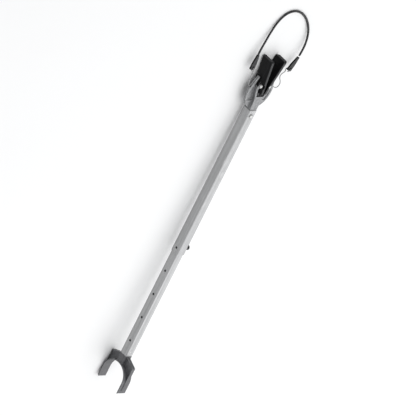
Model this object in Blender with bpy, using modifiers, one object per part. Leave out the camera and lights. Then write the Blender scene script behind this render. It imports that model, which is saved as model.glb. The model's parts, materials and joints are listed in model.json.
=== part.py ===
"""Telescoping outboard-motor support: a square two-piece pole with a padded V-head
and hold-down strap at one end and a roller saddle at the other, lying on its side.

Lengths are in millimetres here, and the builders turn them into metres.
The pole frame has +X from the V-head to the saddle along the pole's axis, with x = 0 at the
outer tube's head end, +Z out of the tube's upper face, and +Y out of the face with the lock.
The whole pole is then tilted so that it lies with the pads and one saddle shoulder on z = 0.
"""

import math

import bmesh
import bpy
from mathutils import Matrix, Vector

MM = 0.001
GAP = 0.3  # between touching pieces

# Telescoping pole
OUTER_SIDE, OUTER_WALL, OUTER_LENGTH, OUTER_CORNER = 28.6, 1.3, 494.0, 2.6
INNER_SIDE, INNER_WALL, INNER_LENGTH, INNER_CORNER = 25.4, 1.6, 460.0, 2.2
INNER_END = 845.0  # the inner tube's saddle end
LOCK_X = 478.0  # the outer tube's lock hole
HOLE_PITCH, HOLE_COUNT, HOLE_RADIUS = 80.0, 5, 3.5
BOLT_RADIUS = 3.0
BOLT_HOLE_RADIUS = BOLT_RADIUS + GAP

# V-head
YOKE_START = 1.2  # from the tube's end to the casting's shoulder
YOKE_HALF = 12.5  # half thickness of the block that holds the pads' feet
WING_HALF, WEB_HALF = 4.2, 1.5  # of the wings' flanges and arms, and of the web inside them
SPIGOT_DEPTH = 42.0
YOKE_BOLT_X = 18.5
EAR_HALF = 9.5  # the pads' feet go between the ears
EAR_S, EAR_Y, EAR_RADIUS = 82.0, 17.2, 7.2
HOOK_S, HOOK_HOLE_RADIUS = 74.0, 2.2
HOOK_INNER_Y = 35.5  # the wire's end inside the flange
HOOK_BOWS = {  # (s, y) from the arm's outer face round to where the hook turns to its tab
    "left": [(74, 46), (75.5, 50.5), (80, 54.5), (88, 57.5), (98, 59.6), (108, 60.6), (117, 61)],
    "right": [(73, 47.5), (70, 53), (68.4, 59.5), (70, 66), (75.5, 70.5), (83, 71),
              (90.5, 67.5), (98, 62), (106, 58.5), (113, 61)],
}
PAD_HALF, PAD_TOP, PAD_FOOT_HALF = 21.0, 169.0, EAR_HALF - GAP
PAD_CORNER = 164.5  # where the pads' end corners start to round

# Saddle, measured beyond the inner tube's end
ARC_CENTRE, ARC_RADIUS, BAND = 72.0, 42.5, 3.8
BAND_HALF, SADDLE_WEB_HALF, RIM_HALF = 15.5, 2.5, 5.2
TIP = 107.0
SHOULDER, SHOULDER_HALF = 19.0, 49.0
SADDLE_PIN_X, SADDLE_PIN_RADIUS = 832.0, 2.5

# How the pole lies: pads' far lower edge and saddle's lower shoulder on the ground
TILT = math.atan2(SHOULDER_HALF - PAD_HALF, INNER_END + SHOULDER + PAD_CORNER)
POLE_HEIGHT = PAD_CORNER * math.sin(TILT) + PAD_HALF * math.cos(TILT)
POLE_X = -0.5 * (INNER_END + TIP - PAD_TOP)

# Hold-down strap: (s, y, height), s counted from the tube's end towards the pads
WIRE_RADIUS = 1.4
STRAP_RADIUS = 3.0
TAB_HALF, TAB_LENGTH = 2.8, 40.0
TAB_LEFT = (137.0, -70.5)
TAB_RIGHT = (131.0, 84.0)
STRAP_ROUTE = [
    (178, -69.5, 15.1), (198, -66.5, 12.4), (219, -62, 10.0), (247, -56, 6.8),
    (273, -48.5, 4.4), (293, -39, 3.4), (308, -26, 3.1), (316, -9, 3.05), (317, 12, 3.05),
    (309, 37, 3.05), (291, 64, 3.3), (269, 84, 4.6), (247, 96.5, 6.9), (225, 103, 9.2),
    (204, 105, 11.4), (187, 103.6, 13.2), (171.5, 99.5, 15.4),
]
STRAP_DROP = 0.077  # how far the strap's plane falls per unit of s


# ---------------------------------------------------------------- scene set-up

def clear_scene():
    for old in list(bpy.data.objects):
        bpy.data.objects.remove(old, do_unlink=True)


def collection(name):
    made = bpy.data.collections.new(name)
    bpy.context.scene.collection.children.link(made)
    return made


def material(name, colour, roughness, metallic):
    made = bpy.data.materials.new(name)
    made.use_nodes = True
    shader = made.node_tree.nodes["Principled BSDF"]
    shader.inputs["Base Color"].default_value = (*colour, 1.0)
    shader.inputs["Roughness"].default_value = roughness
    shader.inputs["Metallic"].default_value = metallic
    return made


def empty(name, location, rotation=(0, 0, 0)):
    made = bpy.data.objects.new(name, None)
    GUIDES.objects.link(made)
    made.location = Vector(location) * MM
    made.rotation_euler = rotation
    return made


def place(name, data, parent, look=None, at=(0, 0, 0), turn=(0, 0, 0)):
    """Puts a mesh or curve into the scene: a part if it has a look, or else a cutter."""
    made = bpy.data.objects.new(name, data)
    (PARTS if look else CUTTERS).objects.link(made)
    made.parent = parent
    made.location = Vector(at) * MM
    made.rotation_euler = turn
    if look:
        data.materials.append(look)
    else:
        made.hide_render = True
        made.display_type = "WIRE"
    return made


# ---------------------------------------------------------------- shape builders

def tidy(mesh):
    """Welds a mesh's loose caps and turns its faces outwards."""
    work = bmesh.new()
    work.from_mesh(mesh)
    bmesh.ops.remove_doubles(work, verts=work.verts, dist=1e-6)
    bmesh.ops.recalc_face_normals(work, faces=work.faces)
    work.to_mesh(mesh)
    work.free()
    return mesh


def mesh_of(thing):
    """The evaluated mesh of a curve object, which is removed."""
    bpy.context.scene.collection.objects.link(thing)
    bpy.context.view_layer.update()
    shown = thing.evaluated_get(bpy.context.evaluated_depsgraph_get())
    mesh = bpy.data.meshes.new_from_object(shown)
    bpy.data.objects.remove(thing, do_unlink=True)
    return tidy(mesh)


PLANES = {
    "XY": Matrix.Identity(3),
    "XZ": Matrix(((1, 0, 0), (0, 0, -1), (0, 1, 0))),
    "YZ": Matrix(((0, 0, 1), (1, 0, 0), (0, 1, 0))),
}


def plate(name, loops, low, high, plane="XY"):
    """A flat outline with holes, from low to high across its plane."""
    curve = bpy.data.curves.new(name, "CURVE")
    curve.dimensions = "2D"
    curve.fill_mode = "BOTH"
    curve.extrude = 0.5 * (high - low) * MM
    for loop in loops:
        spline = curve.splines.new("POLY")
        spline.points.add(len(loop) - 1)
        for point, (u, v) in zip(spline.points, loop):
            point.co = (u * MM, v * MM, 0, 1)
        spline.use_cyclic_u = True
    mesh = mesh_of(bpy.data.objects.new(name, curve))
    mesh.transform(Matrix.Translation((0, 0, 0.5 * (low + high) * MM)))
    mesh.transform(PLANES[plane].to_4x4())
    return mesh


def rod(name, radius, low, high, axis="Z", segments=24):
    """A cylinder on an axis through the origin."""
    work = bmesh.new()
    bmesh.ops.create_cone(
        work, cap_ends=True, segments=segments, radius1=radius * MM, radius2=radius * MM,
        depth=(high - low) * MM,
    )
    mesh = bpy.data.meshes.new(name)
    work.to_mesh(mesh)
    work.free()
    mesh.transform(Matrix.Translation((0, 0, 0.5 * (low + high) * MM)))
    if axis == "Y":
        mesh.transform(Matrix.Rotation(math.radians(-90), 4, "X"))
    return mesh


def turned(name, profile, parent, look, at, turn=(0, 0, 0), closed=False, steps=24):
    """A turned piece: the profile is (radius, height), running down the outer side."""
    mesh = bpy.data.meshes.new(name)
    edges = [(i, i + 1) for i in range(len(profile) - 1)]
    if closed:
        edges.append((len(profile) - 1, 0))
    mesh.from_pydata([(r * MM, 0, z * MM) for r, z in profile], edges, [])
    made = place(name, mesh, parent, look, at, turn)
    screw = made.modifiers.new("turn", "SCREW")
    screw.axis = "Z"
    screw.steps = screw.render_steps = steps
    screw.use_merge_vertices = True
    screw.merge_threshold = 1e-5
    screw.use_smooth_shade = False
    return made


def boolean(target, mesh, operation="DIFFERENCE", at=(0, 0, 0), solver="EXACT"):
    tool = place(mesh.name, mesh, target.parent, None, at)
    cut = target.modifiers.new(mesh.name, "BOOLEAN")
    cut.operation = operation
    cut.solver = solver
    cut.object = tool


def arc(cu, cv, radius, start, end, steps):
    """Points on an arc, angles in degrees from +u towards +v."""
    angles = [math.radians(start + (end - start) * i / steps) for i in range(steps + 1)]
    return [(cu + radius * math.cos(a), cv + radius * math.sin(a)) for a in angles]


def rounded_square(side, corner, steps=4):
    half = 0.5 * side - corner
    centres = [(half, half, 0), (-half, half, 90), (-half, -half, 180), (half, -half, 270)]
    return [p for u, v, a in centres for p in arc(u, v, corner, a, a + 90, steps)]


def hexagon(across):
    return arc(0, 0, across / math.sqrt(3), 0, 300, 5)


def mirrored(half):
    """A closed outline from its +v half, listed from one end of the middle line to the other."""
    return half + [(u, -v) for u, v in reversed(half) if abs(v) > 1e-9]


def headward(points):
    """Turns (s, y) points, s towards the pads, into (x, y)."""
    return [(-s, y) for s, y in points]


def smooth(points, count):
    """Evenly spaced points on a Catmull-Rom curve through the given points."""
    knots = [Vector(p) for p in points]
    knots = [2 * knots[0] - knots[1], *knots, 2 * knots[-1] - knots[-2]]
    fine = []
    for a, b, c, d in zip(knots, knots[1:], knots[2:], knots[3:]):
        for i in range(24):
            t = i / 24
            fine.append(0.5 * (2 * b + (c - a) * t + (2 * a - 5 * b + 4 * c - d) * t * t
                               + (3 * b - a - 3 * c + d) * t ** 3))
    fine.append(knots[-2])
    along = [0.0]
    for a, b in zip(fine, fine[1:]):
        along.append(along[-1] + (b - a).length)
    result, j = [], 0
    for i in range(count):
        target = along[-1] * i / (count - 1)
        while j < len(fine) - 2 and along[j + 1] < target:
            j += 1
        share = (target - along[j]) / (along[j + 1] - along[j])
        result.append(fine[j].lerp(fine[j + 1], min(share, 1.0)))
    return result


def wire(name, points, radius, parent, look):
    """A round wire or tube along points, with flat filled ends."""
    curve = bpy.data.curves.new(name, "CURVE")
    curve.dimensions = "3D"
    curve.bevel_depth = radius * MM
    curve.bevel_resolution = 2
    curve.use_fill_caps = True
    spline = curve.splines.new("POLY")
    spline.points.add(len(points) - 1)
    for point, co in zip(spline.points, points):
        point.co = (*(Vector(co) * MM), 1)
    return place(name, curve, parent, look)


# ---------------------------------------------------------------- the pole's two tubes

def square_tube(name, side, wall, corner, start, length, look):
    loops = [rounded_square(side, corner), rounded_square(side - 2 * wall, corner - wall + 0.4)]
    return place(name, plate(name, loops, start, start + length, "YZ"), POLE, look)


def outer_tube():
    tube = square_tube("outer_tube", OUTER_SIDE, OUTER_WALL, OUTER_CORNER, 0, OUTER_LENGTH,
                       ALUMINIUM)
    boolean(tube, rod("outer_bolt_hole", BOLT_HOLE_RADIUS, -20, 20), at=(YOKE_BOLT_X, 0, 0))
    boolean(tube, rod("outer_lock_hole", HOLE_RADIUS, -20, 20, "Y"), at=(LOCK_X, 0, 0))


def inner_tube():
    tube = square_tube("inner_tube", INNER_SIDE, INNER_WALL, INNER_CORNER,
                       INNER_END - INNER_LENGTH, INNER_LENGTH, ALUMINIUM)
    for i in range(HOLE_COUNT):
        boolean(tube, rod(f"inner_lock_hole_{i + 1}", HOLE_RADIUS, -20, 20, "Y"),
                at=(LOCK_X + i * HOLE_PITCH, 0, 0))
    boolean(tube, rod("inner_pin_hole", SADDLE_PIN_RADIUS + GAP, -20, 20),
            at=(SADDLE_PIN_X, 0, 0))


# ---------------------------------------------------------------- V-head casting

def ear():
    return [(EAR_S + EAR_RADIUS * math.cos(math.radians(a)),
             EAR_Y + EAR_RADIUS * math.sin(math.radians(a))) for a in range(80, -161, -20)]


def block_outline():
    """One side of the thick middle: shank, slot wall and ear, round to the V's floor."""
    return [
        (YOKE_START, 0), (YOKE_START, 13.2), (8, 13.2), (30, 14.8), (44, 19), (60, 24.4),
        (72, 27.6), (77.8, 27.4), *ear(), (71.5, 21.6), (47, 14.4), (45.5, 12.6), (45.5, 0),
    ]


def wing_outline():
    """One side of the flat wings: round the shoulder and along the arm, and back inside it."""
    return [
        (4, 0), (4, 14), (9, 24.5), (14, 30.5), (20, 36), (27, 40.5), (36, 44), (46, 46.6),
        (57, 47.8), (66, 47.2), (73, 45.2), (82, 42), (90, 39.2), (100, 35.4), (107.5, 32.2),
        (109.2, 30), (107.6, 27.4), (94, 31.4), (80, 33), (75, 31), (73, 26), (60, 22), (45, 17),
        (45, 0),
    ]


WING_POCKET = [
    (29, 12), (29, 35.5), (37, 38.2), (46, 40.4), (57, 41.6), (66, 41), (76, 37.6), (74, 33.4),
    (71, 12),
]


def yoke():
    casting = place("yoke", plate("yoke", [headward(mirrored(wing_outline()))],
                                  -WING_HALF, WING_HALF), POLE, CAST_ALUMINIUM)
    groove = [(80, 41.2), (80, 46), (112, 34), (112, 29.2)]
    for side, mark in ((1, "right"), (-1, "left")):
        for face in (1, -1):
            low, high = sorted((face * WEB_HALF, face * (WING_HALF + 3)))
            boolean(casting, plate(f"yoke_pocket_{mark}_{face}",
                                   [[(-s, side * y) for s, y in WING_POCKET]], low, high))
        boolean(casting, plate(f"yoke_groove_{mark}", [[(-s, side * y) for s, y in groove]],
                               -1.2, 1.2))
        low, high = sorted((side * (HOOK_INNER_Y - 2), side * 50))
        boolean(casting, rod(f"yoke_hook_hole_{mark}", HOOK_HOLE_RADIUS, low, high, "Y"),
                at=(-HOOK_S, 0, 0))
    boolean(casting, plate("yoke_block", [headward(mirrored(block_outline()))],
                           -YOKE_HALF, YOKE_HALF), "UNION")
    spigot = plate("yoke_spigot", [rounded_square(OUTER_SIDE - 2 * OUTER_WALL - 2 * GAP, 1.8)],
                   -8, SPIGOT_DEPTH, "YZ")
    boolean(casting, spigot, "UNION")
    feet = [(47.0, 0), (47.0, 14.6), (71.6, 22.0), (78.2, 25.4), (91, 26.8), (91, 0)]
    boolean(casting, plate("yoke_feet_slot", [headward(mirrored(feet))], -EAR_HALF, EAR_HALF))
    for side, mark in ((1, "right"), (-1, "left")):
        boolean(casting, rod(f"yoke_ear_hole_{mark}", BOLT_HOLE_RADIUS, -20, 20),
                at=(-EAR_S, side * EAR_Y, 0))
    boolean(casting, rod("yoke_spigot_hole", BOLT_HOLE_RADIUS, -20, 20), at=(YOKE_BOLT_X, 0, 0))


# ---------------------------------------------------------------- rubber pads

# Down the pad: s, half width in z, inner y, front outer y, ridge y, ridge z
PAD_SECTIONS = [
    (58, 20.2, 1.6, 8.6, 12.6, 6.0),
    (61, 21.0, 2.1, 9.4, 13.8, 6.2),
    (96, 21.0, 8.4, 16.2, 23.4, 7.0),
    (146, 21.0, 16.9, 25.4, 29.8, 15.0),
    (PAD_CORNER, 21.0, 20.1, 28.9, 32.9, 16.0),
    (167.6, 20.2, 20.6, 29.3, 33.3, 15.4),
    (PAD_TOP, 17.8, 20.9, 29.4, 33.2, 13.4),
]


def pad_body(name, side):
    """A loft whose back narrows from the front edge to a ridge that follows the foot."""
    work = bmesh.new()
    rings = []
    for s, half, inner, front, ridge, ridge_z in PAD_SECTIONS:
        section = [(inner, -half), (inner, half), (front, half), (ridge, ridge_z),
                   (ridge, -ridge_z), (front, -half)]
        rings.append([work.verts.new((-s * MM, side * y * MM, z * MM)) for y, z in section])
    for low, high in zip(rings, rings[1:]):
        for i in range(len(low)):
            j = (i + 1) % len(low)
            work.faces.new((low[i], low[j], high[j], high[i]))
    work.faces.new(rings[0])
    work.faces.new(rings[-1])
    mesh = bpy.data.meshes.new(name)
    work.to_mesh(mesh)
    work.free()
    return tidy(mesh)


def pad(mark, side):
    name = f"pad_{mark}"
    made = place(name, pad_body(name, side), POLE, RUBBER)
    foot = [(47.4, 1.0), (47.4, 14.0), (71.4, 21.2), (78.2, 24.6), (90, 25.6), (100, 22),
            (100, 12), (62, 4)]
    boolean(made, plate(f"{name}_foot", [[(-s, side * y) for s, y in foot]],
                        -PAD_FOOT_HALF, PAD_FOOT_HALF), "UNION")
    boolean(made, rod(f"{name}_bolt_hole", BOLT_HOLE_RADIUS, -30, 30),
            at=(-EAR_S, side * EAR_Y, 0))
    ear_room = EAR_RADIUS + 0.8
    for face in (1, -1):
        low, high = sorted((face * PAD_FOOT_HALF, face * 30))
        boolean(made, rod(f"{name}_ear_room_{face}", ear_room, low, high),
                at=(-EAR_S, side * EAR_Y, 0))


# ---------------------------------------------------------------- bolts, washers and nuts

def fastener(mark, x, y, face, head_radius, head_height, washer=(6.4, 1.2), nut=(10.0, 5.0)):
    """A dome-head bolt along Z through everything between z = -face and face."""
    seat = face + GAP
    crown = [(head_radius * math.sin(a), seat + head_height * (0.25 + 0.75 * math.cos(a)))
             for a in [math.radians(i * 90 / 5) for i in range(6)]]
    washer_top = -seat
    nut_top = washer_top - washer[1] - GAP
    end = nut_top - nut[1] - 1.0
    profile = [(0, crown[0][1]), *crown[1:], (head_radius, seat), (BOLT_RADIUS, seat),
               (BOLT_RADIUS, end + 0.6), (BOLT_RADIUS - 0.6, end), (0, end)]
    turned(f"{mark}_bolt", profile, POLE, STEEL, (x, y, 0))
    bore = list(reversed(arc(0, 0, BOLT_HOLE_RADIUS, 0, 345, 23)))
    place(f"{mark}_washer", plate(f"{mark}_washer", [arc(0, 0, washer[0], 0, 345, 23), bore],
                                  washer_top - washer[1], washer_top), POLE, STEEL, (x, y, 0))
    place(f"{mark}_nut", plate(f"{mark}_nut", [hexagon(nut[0]), bore], nut_top - nut[1],
                               nut_top), POLE, STEEL, (x, y, 0))


# ---------------------------------------------------------------- roller saddle

def weld(target, mesh):
    """Joins a shape to the saddle, whose thin flanges the default solver leaves open."""
    boolean(target, mesh, "UNION", solver="MANIFOLD")


def saddle():
    start = INNER_END + GAP
    centre = INNER_END + ARC_CENTRE
    tip = INNER_END + TIP
    outer = ARC_RADIUS + BAND
    band = [*arc(centre, 0, ARC_RADIUS, 90, 270, 24), (tip, -ARC_RADIUS), (tip - 3.5, -outer),
            *arc(centre, 0, outer, 270, 90, 24),
            (tip - 3.5, outer), (tip, ARC_RADIUS)]
    shoulder = INNER_END + SHOULDER
    middle = ARC_RADIUS + 0.5 * BAND
    rim_end = INNER_END + 96
    edge = [(start + 3, 12.4), (shoulder - 2.4, SHOULDER_HALF - 2.6), (shoulder, SHOULDER_HALF),
            (shoulder + 3.2, SHOULDER_HALF), (rim_end, 48.2)]
    inset = [(start + 3, 7.6), (shoulder + 0.6, 45.2), (shoulder + 4, 46.4),
             (rim_end, 45.0)]
    web = [(start + 4, 0), (start + 4, 10.8), (shoulder + 0.4, SHOULDER_HALF - 2),
           (shoulder + 3.4, SHOULDER_HALF - 1.6), (rim_end - 1.2, 46.9), (rim_end - 1.2, middle),
           *arc(centre, 0, middle, 90, 180, 12)[:-1], (centre - middle, 0)]
    casting = place("roller_saddle", plate("roller_saddle", [band], -BAND_HALF, BAND_HALF, "XZ"),
                    POLE, CAST_DARK)
    weld(casting, plate("saddle_web", [mirrored(web)], -SADDLE_WEB_HALF, SADDLE_WEB_HALF,
                        "XZ"))
    for face in (1, -1):
        rim = [(u, face * v) for u, v in [*edge, *reversed(inset)]]
        weld(casting, plate(f"saddle_rim_{face}", [rim], -RIM_HALF, RIM_HALF, "XZ"))
    hub = plate("saddle_hub", [rounded_square(INNER_SIDE + 0.4, 2.2)], start,
                INNER_END + ARC_CENTRE - ARC_RADIUS - 1.5, "YZ")
    weld(casting, hub)
    side = INNER_SIDE - 2 * INNER_WALL - 2 * GAP
    weld(casting, plate("saddle_spigot", [rounded_square(side, 1.4)], INNER_END - 36,
                        INNER_END + 6, "YZ"))
    boolean(casting, rod("saddle_pin_hole", SADDLE_PIN_RADIUS + GAP, -20, 20),
            at=(SADDLE_PIN_X, 0, 0), solver="MANIFOLD")
    half = 0.5 * INNER_SIDE - 0.1
    place("saddle_pin", rod("saddle_pin", SADDLE_PIN_RADIUS, -half, half), POLE, STEEL,
          (SADDLE_PIN_X, 0, 0))


# ---------------------------------------------------------------- indexing lock plunger

def lock():
    """The plunger stands parked, just clear of the inner tube, with its spring compressed."""
    wall = 0.5 * OUTER_SIDE
    seat, top = wall + GAP, wall + 10.7
    bore, barrel, cavity = BOLT_HOLE_RADIUS, 5.8, 4.9
    turn = (math.radians(-90), 0, 0)
    at = (LOCK_X, 0, 0)
    bush = [(bore, top), (barrel, top), (barrel, seat + 1.6), (8.8, seat + 1.6), (8.8, seat),
            (bore, seat), (bore, seat + 1), (cavity, seat + 1), (cavity, top - 1), (bore, top - 1)]
    turned("lock_bush", bush, POLE, STEEL, at, turn, closed=True)
    tip = 0.5 * INNER_SIDE + 0.4
    pin_top, collar = wall + 16.7, wall + 4.9
    pin = [(0, pin_top), (BOLT_RADIUS, pin_top), (BOLT_RADIUS, collar + 0.8),
           (4.6, collar + 0.8), (4.6, collar), (BOLT_RADIUS, collar), (BOLT_RADIUS, tip + 0.8),
           (2.2, tip), (0, tip)]
    turned("lock_plunger", pin, POLE, STEEL, at, turn)
    low, high = wall + 14.2, wall + 18.1
    knob = [(0, high), (6.6, high), (7.8, high - 1.2), (7.8, low + 0.8), (7.0, low),
            (bore, low), (bore, pin_top + GAP), (0, pin_top + GAP)]
    turned("lock_knob", knob, POLE, BLACK_PLASTIC, at, turn)
    first, last, turns, steps = collar + 1.3, top - 1.5, 3, 12
    coil = [(LOCK_X + 4.05 * math.cos(2 * math.pi * i / steps),
             first + (last - first) * i / (turns * steps),
             4.05 * math.sin(2 * math.pi * i / steps)) for i in range(turns * steps + 1)]
    wire("lock_spring", coil, 0.4, POLE, STEEL)


# ---------------------------------------------------------------- strap and its hooks

def strap_height(s):
    """Height of the hooks' and tabs' middle above the ground."""
    return HOOK_HEIGHT - STRAP_DROP * (s - HOOK_S)


def hook(mark, tab):
    """An S-hook: in through the arm's hole, out round its bow to the tab, up through its eye."""
    side = math.copysign(1, tab[1])
    bow = [(HOOK_S, HOOK_INNER_Y), (HOOK_S, 38.5), (HOOK_S, 42), *HOOK_BOWS[mark]]
    route = [Vector((s, y, 0)) for s, y in bow]
    start = route[-1]
    away = Vector((tab[0], abs(tab[1]), 0)) - start
    length = away.length
    away.normalize()
    loop = 6.5
    profile = [(length - 17, -0.6), (length - 14, -2.6), (length - 10.6, -5.2)]
    profile += [(length + u, v) for u, v in arc(-loop, 0, loop, -90, 150, 10)]
    route += [start + away * u + Vector((0, 0, v)) for u, v in profile]
    points = [(-s, side * y, strap_height(s) + v) for s, y, v in smooth(route, 60)]
    wire(f"strap_hook_{mark}", points, WIRE_RADIUS, STRAP, WIRE)


def tab(mark, where, towards):
    """The strap's moulded end: a flat eye that narrows to the strap."""
    dx, dy = -(towards[0] - where[0]), towards[1] - where[1]
    heading = math.atan2(dy, dx)
    outline = [(12, 7.9), (-3.5, 8.2), *arc(-4.8, 5.2, 2.8, 90, 180, 4),
               *arc(-4.8, -5.2, 2.8, 180, 270, 4), (-3.5, -8.2), (12, -7.9),
               (TAB_LENGTH, -3.4), (TAB_LENGTH, 3.4)]
    eye = list(reversed(arc(0, 0, 3.6, 0, 345, 23)))
    name = f"strap_tab_{mark}"
    slope = math.atan(STRAP_DROP)
    made = place(name, plate(name, [outline, eye], -TAB_HALF, TAB_HALF), STRAP, RUBBER,
                 (-where[0], where[1], strap_height(where[0])))
    lie = Matrix.Rotation(-slope, 3, "Y") @ Matrix.Rotation(heading, 3, "Z")
    made.rotation_euler = lie.to_euler()


def strap():
    points = [(-s, y, h) for s, y, h in smooth(STRAP_ROUTE, 34)]
    wire("strap", points, STRAP_RADIUS, STRAP, RUBBER)
    hook("left", TAB_LEFT)
    hook("right", TAB_RIGHT)
    tab("left", TAB_LEFT, STRAP_ROUTE[0])
    tab("right", TAB_RIGHT, STRAP_ROUTE[-1])


# ---------------------------------------------------------------- the whole support

clear_scene()
PARTS = collection("motor_support")
CUTTERS = collection("cutters")
GUIDES = collection("guides")
ALUMINIUM = material("extruded_aluminium", (0.72, 0.73, 0.74), 0.42, 0.85)
CAST_ALUMINIUM = material("cast_aluminium", (0.62, 0.63, 0.65), 0.5, 0.6)
CAST_DARK = material("dark_casting", (0.13, 0.135, 0.145), 0.55, 0.3)
STEEL = material("zinc_steel", (0.75, 0.75, 0.76), 0.3, 1.0)
WIRE = material("hook_wire", (0.78, 0.78, 0.78), 0.28, 1.0)
RUBBER = material("black_rubber", (0.02, 0.02, 0.022), 0.6, 0.0)
BLACK_PLASTIC = material("black_plastic", (0.03, 0.03, 0.03), 0.4, 0.0)

POLE = empty("pole_lying", (POLE_X, 0, POLE_HEIGHT), (0, -TILT, 0))
STRAP = empty("strap_lying", (POLE_X, 0, 0))
HOOK_HEIGHT = POLE_HEIGHT - HOOK_S * math.sin(TILT)

outer_tube()
inner_tube()
yoke()
for mark, side in (("right", 1), ("left", -1)):
    pad(mark, side)
    fastener(f"pad_{mark}", -EAR_S, side * EAR_Y, YOKE_HALF, 6.75, 4.2, nut=(9.5, 4.0))
fastener("yoke", YOKE_BOLT_X, 0, 0.5 * OUTER_SIDE, 5.8, 3.4, nut=(10.0, 4.5))
saddle()
lock()
strap()
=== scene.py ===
"""Looks of the telescoping outboard-motor support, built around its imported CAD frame.

Lengths are in millimetres where a name is multiplied by MM, and everything handed to Blender
is in metres. The pole frame has +X along the pole from the V-head to the saddle, with x = 0
at the outer tube's head end, and +Z out of the tube's upper face.
"""

import json
import math

import bmesh
import bpy
from mathutils import Matrix, Vector


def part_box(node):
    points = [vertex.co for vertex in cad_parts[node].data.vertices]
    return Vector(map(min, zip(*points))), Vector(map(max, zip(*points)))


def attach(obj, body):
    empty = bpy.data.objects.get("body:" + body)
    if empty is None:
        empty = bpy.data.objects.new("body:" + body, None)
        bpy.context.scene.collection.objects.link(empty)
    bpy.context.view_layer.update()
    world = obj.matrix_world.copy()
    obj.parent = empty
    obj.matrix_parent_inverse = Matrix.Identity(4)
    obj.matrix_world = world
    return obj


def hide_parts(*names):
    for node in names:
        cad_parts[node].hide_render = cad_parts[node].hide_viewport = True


MM = 0.001

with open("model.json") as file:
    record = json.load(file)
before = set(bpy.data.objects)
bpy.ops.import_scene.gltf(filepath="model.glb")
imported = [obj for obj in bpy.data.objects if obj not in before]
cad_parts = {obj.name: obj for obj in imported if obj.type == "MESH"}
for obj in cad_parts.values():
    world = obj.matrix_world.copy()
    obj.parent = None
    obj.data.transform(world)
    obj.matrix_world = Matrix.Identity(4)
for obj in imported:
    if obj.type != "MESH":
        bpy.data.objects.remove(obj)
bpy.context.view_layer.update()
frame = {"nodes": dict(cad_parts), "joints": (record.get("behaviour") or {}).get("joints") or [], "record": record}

# The pole's place, from the outer tube and the telescope's axis
SLIDE = Vector(next(j["axis"] for j in frame["joints"] if j["name"] == "telescope"))
TILT = math.atan2(-SLIDE.z, -SLIDE.x)
OUTER_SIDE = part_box("outer_tube")[1][1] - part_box("outer_tube")[0][1]
HEAD_LOW = Vector(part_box("outer_tube")[0])
POLE = Matrix.Translation((HEAD_LOW.x + 0.5 * OUTER_SIDE * math.sin(TILT), 0,
                           HEAD_LOW.z + 0.5 * OUTER_SIDE * math.cos(TILT)))
POLE = POLE @ Matrix.Rotation(-TILT, 4, "Y")

# Camera, in the pole frame
VIEW_RIGHT = (-0.4105, 0.6887, 0.5976)
VIEW_UP = (-0.8136, 0.0192, -0.5811)
AIM = (341.8, 31.0, 2.1)
DISTANCE, VIEW_WIDTH = 40.0, 1.162  # metres; a long lens, so nearly without perspective
SENSOR = 36.0

# Studio
SKY_STRENGTH = 0.60
LIGHT_AIM = Vector((0.1, 0, 0))
FLOOR_HALF, FLOOR_DROP = 30.0, 0.0004

# Strap: (s, y, height) in mm, s counted from the tube's end towards the pads
STRAP_ROUTE = [
    (178, -69.5, 15.1), (198, -66.5, 12.4), (219, -62, 10.0), (247, -56, 6.8),
    (273, -48.5, 4.4), (293, -39, 3.4), (308, -26, 3.1), (316, -9, 3.05), (317, 12, 3.05),
    (309, 37, 3.05), (291, 64, 3.3), (269, 84, 4.6), (247, 96.5, 6.9), (225, 103, 9.2),
    (204, 105, 11.4), (187, 103.6, 13.2), (171.5, 99.5, 15.4),
]
STRAP_WIDE, STRAP_THICK = 6.6, 4.8
STRAP_RINGS, STRAP_SIDES = 120, 32
STRAP_SQUARENESS = 0.8  # 1 is an ellipse, less is squarer
GROOVE_DEPTH, GROOVE_WIDTH = 0.10, 1.0  # share of the thickness, and mm
CURVE_STEPS = 24

# Copies of the CAD meshes
WELD, FLAT = 2e-6, math.radians(0.6)
SHARP = math.radians(28)


# ---------------------------------------------------------------- camera, floor and light

def camera():
    data = bpy.data.cameras.new("camera")
    data.sensor_width = SENSOR
    data.lens = SENSOR * DISTANCE / VIEW_WIDTH
    data.clip_end = 2 * DISTANCE
    made = bpy.data.objects.new("camera", data)
    bpy.context.scene.collection.objects.link(made)
    right = Vector(VIEW_RIGHT).normalized()
    back = right.cross(Vector(VIEW_UP)).normalized()
    turn = Matrix((right, back.cross(right), back)).transposed().to_4x4()
    aim = Matrix.Translation(Vector(AIM) * MM + back * DISTANCE)
    made.matrix_world = POLE @ aim @ turn
    bpy.context.scene.camera = made


def area_light(name, at, size, power):
    data = bpy.data.lights.new(name, "AREA")
    data.shape = "RECTANGLE"
    data.size, data.size_y = size
    data.energy = power
    made = bpy.data.objects.new(name, data)
    bpy.context.scene.collection.objects.link(made)
    made.location = at
    made.rotation_euler = (LIGHT_AIM - Vector(at)).to_track_quat("-Z", "Y").to_euler()


def studio():
    world = bpy.data.worlds.new("studio")
    world.use_nodes = True
    sky = world.node_tree.nodes["Background"]
    sky.inputs["Color"].default_value = (0.98, 0.99, 1.0, 1.0)
    sky.inputs["Strength"].default_value = SKY_STRENGTH
    bpy.context.scene.world = world
    bpy.context.scene.view_settings.view_transform = "Standard"
    area_light("overhead", (0.0, -0.3, 4.0), (6.0, 6.0), 95)
    area_light("key", (2.6, 4.4, 3.6), (6.0, 4.5), 165)
    mesh = bpy.data.meshes.new("floor")
    work = bmesh.new()
    bmesh.ops.create_grid(work, x_segments=1, y_segments=1, size=FLOOR_HALF)
    work.to_mesh(mesh)
    work.free()
    floor = bpy.data.objects.new("floor", mesh)
    bpy.context.scene.collection.objects.link(floor)
    floor.location.z = -FLOOR_DROP
    mesh.materials.append(floor_paper())


# ---------------------------------------------------------------- material building

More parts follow.
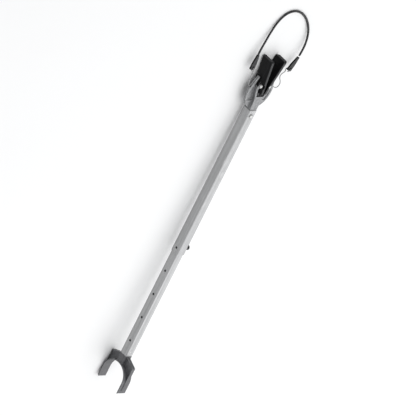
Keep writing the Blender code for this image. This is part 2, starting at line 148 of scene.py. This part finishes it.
class Look:
    """A Principled material whose colour, roughness and bump come from node textures."""

    def __init__(self, name, metallic=0.0, **sockets):
        self.material = bpy.data.materials.new(name)
        self.material.use_nodes = True
        self.tree = self.material.node_tree
        self.shader = self.tree.nodes["Principled BSDF"]
        self.shader.inputs["Metallic"].default_value = metallic
        for socket, value in sockets.items():
            self.shader.inputs[socket.replace("_", " ")].default_value = value
        self.place = self.tree.nodes.new("ShaderNodeTexCoord").outputs["Object"]

    def node(self, kind, links=(), **values):
        made = self.tree.nodes.new(kind)
        for key, value in values.items():
            setattr(made, key, value)
        for socket, source in dict(links).items():
            if isinstance(source, bpy.types.NodeSocket):
                self.tree.links.new(source, made.inputs[socket])
            else:
                made.inputs[socket].default_value = source
        return made

    def along_pole(self, stretch):
        """Places in the pole frame, squeezed along the pole so that grain runs with it."""
        turn = self.node("ShaderNodeMapping", {"Vector": self.place, "Rotation": (0, TILT, 0)})
        return self.node("ShaderNodeMapping", {"Vector": turn.outputs[0],
                                               "Scale": (1 / stretch, 1, 1)}).outputs[0]

    def noise(self, size, detail=3.0, at=None, rough=0.55):
        """A noise whose lumps are about size millimetres across."""
        return self.node("ShaderNodeTexNoise", {
            "Vector": at or self.place, "Scale": 1 / (size * MM), "Detail": detail,
            "Roughness": rough}).outputs["Fac"]

    def spots(self, size):
        return self.node("ShaderNodeTexVoronoi", {
            "Vector": self.place, "Scale": 1 / (size * MM)}).outputs["Distance"]

    def span(self, value, low, high, start, end):
        """value from low..high, brought to start..end."""
        return self.node("ShaderNodeMapRange", {
            "Value": value, "From Min": low, "From Max": high, "To Min": start,
            "To Max": end}).outputs["Result"]

    def edges(self, low, high):
        """How far a place stands out as an edge or corner."""
        return self.span(self.node("ShaderNodeNewGeometry").outputs["Pointiness"],
                         low, high, 0.0, 1.0)

    def facing_up(self):
        """1 where the surface looks up in the piece's own axes, 0 where it is upright."""
        normal = self.node("ShaderNodeTexCoord").outputs["Normal"]
        return self.node("ShaderNodeSeparateXYZ", {"Vector": normal}).outputs["Z"]

    def times(self, a, b, operation="MULTIPLY"):
        return self.node("ShaderNodeMath", {0: a, 1: b}, operation=operation,
                         use_clamp=True).outputs[0]

    def blend(self, factor, a, b):
        made = self.node("ShaderNodeMix", data_type="RGBA")
        for socket, source in ((made.inputs[0], factor), (made.inputs[6], a),
                               (made.inputs[7], b)):
            if isinstance(source, bpy.types.NodeSocket):
                self.tree.links.new(source, socket)
            else:
                socket.default_value = (*source, 1.0) if isinstance(source, tuple) else source
        return made.outputs[2]

    def colour(self, source):
        self.tree.links.new(source, self.shader.inputs["Base Color"])

    def roughness(self, source):
        self.tree.links.new(source, self.shader.inputs["Roughness"])

    def bumps(self, *layers):
        """Stacks bumps, each a height and its depth in millimetres."""
        normal = None
        for height, depth in layers:
            links = {"Height": height, "Distance": depth * MM, "Strength": 1.0}
            if normal:
                links["Normal"] = normal
            normal = self.node("ShaderNodeBump", links).outputs["Normal"]
        self.tree.links.new(normal, self.shader.inputs["Normal"])


def floor_paper():
    look = Look("floor_paper", IOR=1.3)
    look.colour(look.blend(look.noise(400), (0.90, 0.90, 0.90), (0.92, 0.92, 0.92)))
    look.roughness(look.span(look.noise(30), 0.3, 0.7, 0.75, 0.85))
    return look.material


def extruded_aluminium():
    """Mill-finish extrusion: fine draw lines, broad lengthwise bands and faint handling marks."""
    look = Look("extruded_aluminium_finish", metallic=0.75)
    lines = look.noise(0.5, 4, look.along_pole(400), 0.7)
    bands = look.noise(5, 2, look.along_pole(90))
    marks = look.noise(16, 5, look.along_pole(3), 0.65)
    tone = look.blend(look.span(bands, 0.35, 0.65, 0, 1), (0.36, 0.362, 0.366),
                      (0.47, 0.472, 0.476))
    tone = look.blend(look.span(lines, 0.3, 0.7, 0.0, 0.35), tone, (0.29, 0.292, 0.296))
    scuffs = look.times(look.span(marks, 0.58, 0.72, 0, 1), 0.5)
    look.colour(look.blend(scuffs, tone, (0.56, 0.56, 0.558)))
    look.roughness(look.span(look.times(lines, marks, "ADD"), 0.6, 1.0, 0.36, 0.54))
    look.bumps((lines, 0.02), (bands, 0.03))
    return look.material


def cast_aluminium():
    """As-cast skin: fine pebbling, soft mottling, and edges rubbed a little brighter."""
    look = Look("cast_aluminium_finish", metallic=0.6)
    grain, mottle, pores = look.noise(0.9, 4), look.noise(7, 4), look.spots(1.6)
    tone = look.blend(look.span(mottle, 0.35, 0.65, 0, 1), (0.20, 0.202, 0.206),
                      (0.29, 0.292, 0.298))
    tone = look.blend(look.span(grain, 0.55, 0.75, 0, 0.5), tone, (0.15, 0.152, 0.155))
    worn = look.times(look.edges(0.51, 0.55), look.span(mottle, 0.3, 0.6, 0.4, 1.0))
    look.colour(look.blend(worn, tone, (0.52, 0.52, 0.525)))
    look.roughness(look.span(look.times(grain, worn, "SUBTRACT"), 0, 0.8, 0.40, 0.62))
    look.bumps((pores, 0.05), (grain, 0.12), (mottle, 0.2))
    return look.material


def dark_casting():
    """Dark coating over a casting: orange-peel skin, dusty patches, and edges lighter grey, partly rubbed wear and
    partly a painted highlight along the rims.
    """
    look = Look("dark_casting_finish", metallic=0.25)
    peel, patches, specks = look.noise(1.3, 2), look.noise(12, 5), look.noise(0.5, 2)
    tone = look.blend(look.span(patches, 0.35, 0.65, 0, 1), (0.068, 0.069, 0.073),
                      (0.115, 0.116, 0.122))
    # Lighter grey at edges and rims: partly rubbed wear, partly a painted highlight.
    worn = look.times(look.edges(0.51, 0.545), look.span(patches, 0.35, 0.6, 0.35, 0.9))
    tone = look.blend(worn, tone, (0.33, 0.33, 0.34))
    look.colour(look.blend(look.span(specks, 0.62, 0.75, 0, 0.5), tone, (0.24, 0.24, 0.25)))
    look.roughness(look.span(look.times(peel, patches), 0.15, 0.35, 0.40, 0.58))
    look.bumps((peel, 0.08), (specks, 0.02))
    return look.material


def zinc_steel(name="zinc_steel_finish", base=(0.40, 0.40, 0.395)):
    """Zinc-plated steel: faintly clouded, with fine scratches."""
    look = Look(name, metallic=1.0)
    clouds, fine = look.noise(3, 3), look.noise(0.25, 3)
    tone = look.blend(look.span(clouds, 0.35, 0.65, 0, 1), base,
                      tuple(0.12 + 0.9 * c for c in base))
    look.colour(look.blend(look.span(fine, 0.5, 0.75, 0, 0.4), tone, (0.24, 0.24, 0.235)))
    look.roughness(look.span(clouds, 0.3, 0.7, 0.24, 0.42))
    look.bumps((fine, 0.015),)
    return look.material


def black_rubber():
    """Matt moulded rubber: fine grain, a bloom in patches, a painted top light on faces that look up, and greyed
    edges.
    """
    look = Look("black_rubber_finish", Specular_IOR_Level=0.16)
    grain, bloom, nicks = look.noise(0.6, 3), look.noise(18, 5), look.noise(2.5, 4)
    tone = look.blend(look.span(bloom, 0.35, 0.7, 0, 1), (0.0025, 0.0025, 0.0028),
                      (0.0065, 0.0065, 0.0070))
    # Painted top light: faces that look up are painted a lighter grey, as if lit from above.
    painted_top_light = look.times(look.span(look.facing_up(), 0.97, 0.995, 0, 1),
                      look.span(bloom, 0.3, 0.6, 0.75, 1.0))
    tone = look.blend(painted_top_light, tone, (0.042, 0.042, 0.044))
    worn = look.times(look.edges(0.505, 0.54), look.span(nicks, 0.35, 0.65, 0.3, 0.85))
    look.colour(look.blend(worn, tone, (0.07, 0.07, 0.074)))
    look.roughness(look.span(look.times(bloom, grain), 0.15, 0.35, 0.40, 0.60))
    look.bumps((grain, 0.05), (nicks, 0.06))
    return look.material


def black_plastic():
    look = Look("black_plastic_finish")
    grain, wear = look.noise(0.35, 2), look.noise(4, 4)
    look.colour(look.blend(look.span(wear, 0.4, 0.7, 0, 1), (0.018, 0.018, 0.019),
                           (0.045, 0.045, 0.047)))
    look.roughness(look.span(wear, 0.3, 0.7, 0.32, 0.5))
    look.bumps((grain, 0.03),)
    return look.material


# ---------------------------------------------------------------- shapes from the CAD nodes

def copy_of(node, name):
    """A welded copy of a CAD node's mesh, its flat triangles joined into whole faces."""
    work = bmesh.new()
    work.from_mesh(frame["nodes"][node].data)
    bmesh.ops.remove_doubles(work, verts=work.verts, dist=WELD)
    bmesh.ops.dissolve_limit(work, angle_limit=FLAT, verts=work.verts,
                             edges=work.edges)
    mesh = bpy.data.meshes.new(name)
    work.to_mesh(mesh)
    work.free()
    made = bpy.data.objects.new(name, mesh)
    bpy.context.scene.collection.objects.link(made)
    return made


def baked(made):
    """Turns the object's modifiers into its mesh."""
    shown = made.evaluated_get(bpy.context.evaluated_depsgraph_get())
    mesh = bpy.data.meshes.new_from_object(shown)
    made.modifiers.clear()
    made.data = mesh
    return made


def smooth_shaded(made, angle):
    made.data.shade_smooth()
    made.data.set_sharp_from_angle(angle=math.radians(angle))
    return made


def settle(made, node, look):
    """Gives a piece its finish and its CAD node's body."""
    made.data.materials.clear()
    made.data.materials.append(look)
    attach(made, body_of(node))
    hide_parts(node)
    return made


def body_of(node):
    bodies = frame["record"]["behaviour"]["bodies"]
    return next(body for body, members in bodies.items() if node in members)


def cast(node, voxel, rounds, look):
    """A cast or moulded piece: the CAD shape with every edge and inside corner rounded."""
    made = copy_of(node, f"{node}_cast")
    grid = made.modifiers.new("grid", "REMESH")
    grid.mode = "VOXEL"
    grid.voxel_size = voxel * MM
    soften = made.modifiers.new("soften", "SMOOTH")
    soften.factor = 0.5
    soften.iterations = rounds
    baked(made).data.shade_smooth()
    return settle(made, node, look)


def machined(node, width, look):
    """A tube, bolt or turned piece: the CAD shape with its sharp edges broken."""
    made = copy_of(node, f"{node}_machined")
    bevel = made.modifiers.new("broken_edges", "BEVEL")
    bevel.width = width * MM
    bevel.segments = 2
    bevel.limit_method = "ANGLE"
    bevel.angle_limit = SHARP
    bevel.use_clamp_overlap = True
    bevel.loop_slide = False
    smooth_shaded(baked(made), 40)
    return settle(made, node, look)


def drawn(node, look):
    """A wire: the CAD tube with a rounder section and run."""
    made = copy_of(node, f"{node}_drawn")
    fine = made.modifiers.new("round", "SUBSURF")
    fine.levels = fine.render_levels = 2
    smooth_shaded(baked(made), 50)
    return settle(made, node, look)


# ---------------------------------------------------------------- the strap

def smooth_route(points, count):
    """Evenly spaced points on a Catmull-Rom curve through the given points."""
    knots = [Vector(p) for p in points]
    knots = [2 * knots[0] - knots[1], *knots, 2 * knots[-1] - knots[-2]]
    fine = []
    for a, b, c, d in zip(knots, knots[1:], knots[2:], knots[3:]):
        for i in range(CURVE_STEPS):
            t = i / CURVE_STEPS
            fine.append(0.5 * (2 * b + (c - a) * t + (2 * a - 5 * b + 4 * c - d) * t * t
                               + (3 * b - a - 3 * c + d) * t ** 3))
    fine.append(knots[-2])
    along = [0.0]
    for a, b in zip(fine, fine[1:]):
        along.append(along[-1] + (b - a).length)
    result, j = [], 0
    for i in range(count):
        target = along[-1] * i / (count - 1)
        while j < len(fine) - 2 and along[j + 1] < target:
            j += 1
        share = (target - along[j]) / (along[j + 1] - along[j])
        result.append(fine[j].lerp(fine[j + 1], min(share, 1.0)))
    return result


def strap_line():
    """The strap's centreline in world coordinates, in metres."""
    start = POLE.translation.x
    return [Vector((start - s * MM, y * MM, h * MM))
            for s, y, h in smooth_route(STRAP_ROUTE, STRAP_RINGS)]


def squared(value):
    return math.copysign(abs(value) ** STRAP_SQUARENESS, value)


def strap_section():
    """The band's section: a flattened round with a shallow groove along each face."""
    section = []
    for i in range(STRAP_SIDES):
        a = 2 * math.pi * i / STRAP_SIDES
        wide = squared(math.cos(a)) * 0.5 * STRAP_WIDE
        thick = squared(math.sin(a)) * 0.5 * STRAP_THICK
        thick *= 1 - GROOVE_DEPTH * math.exp(-(wide / GROOVE_WIDTH) ** 2)
        section.append((wide * MM, thick * MM))
    return section


def strap(look):
    """The band, swept along its centreline. Returns it with that line."""
    line = strap_line()
    section = strap_section()
    mesh = bpy.data.meshes.new("hold_down_strap")
    work = bmesh.new()
    rings = []
    for i, middle in enumerate(line):
        ahead = (line[min(i + 1, len(line) - 1)] - line[max(i - 1, 0)]).normalized()
        across = ahead.cross(Vector((0, 0, 1))).normalized()
        above = across.cross(ahead)
        rings.append([work.verts.new(middle + across * w + above * t) for w, t in section])
    for low, high in zip(rings, rings[1:]):
        for i in range(len(section)):
            j = (i + 1) % len(section)
            work.faces.new((low[i], low[j], high[j], high[i]))
    work.faces.new(rings[0])
    work.faces.new(rings[-1])
    bmesh.ops.recalc_face_normals(work, faces=work.faces)
    work.to_mesh(mesh)
    work.free()
    made = bpy.data.objects.new("hold_down_strap", mesh)
    bpy.context.scene.collection.objects.link(made)
    smooth_shaded(made, 50)
    settle(made, "strap", look)
    return made, line


# ---------------------------------------------------------------- the whole support

camera()
RUBBER = black_rubber()
STEEL = zinc_steel()
WIRE = zinc_steel("hook_wire_finish", (0.24, 0.24, 0.243))
ALUMINIUM = extruded_aluminium()

band, band_line = strap(RUBBER)
tabs = [cast(f"strap_tab_{side}", 0.3, 10, RUBBER) for side in ("left", "right")]
hooks = [drawn(f"strap_hook_{side}", WIRE) for side in ("left", "right")]

studio()

for tube in ("outer_tube", "inner_tube"):
    machined(tube, 0.25, ALUMINIUM)
cast("yoke", 0.42, 10, cast_aluminium())
cast("roller_saddle", 0.42, 10, dark_casting())
for side in ("left", "right"):
    cast(f"pad_{side}", 0.5, 10, RUBBER)
for owner in ("yoke", "pad_left", "pad_right"):
    for piece in ("bolt", "washer", "nut"):
        machined(f"{owner}_{piece}", 0.25, STEEL)
for piece, width in (("saddle_pin", 0.3), ("lock_bush", 0.2), ("lock_plunger", 0.2)):
    machined(piece, width, STEEL)
machined("lock_knob", 0.3, black_plastic())
drawn("lock_spring", STEEL)
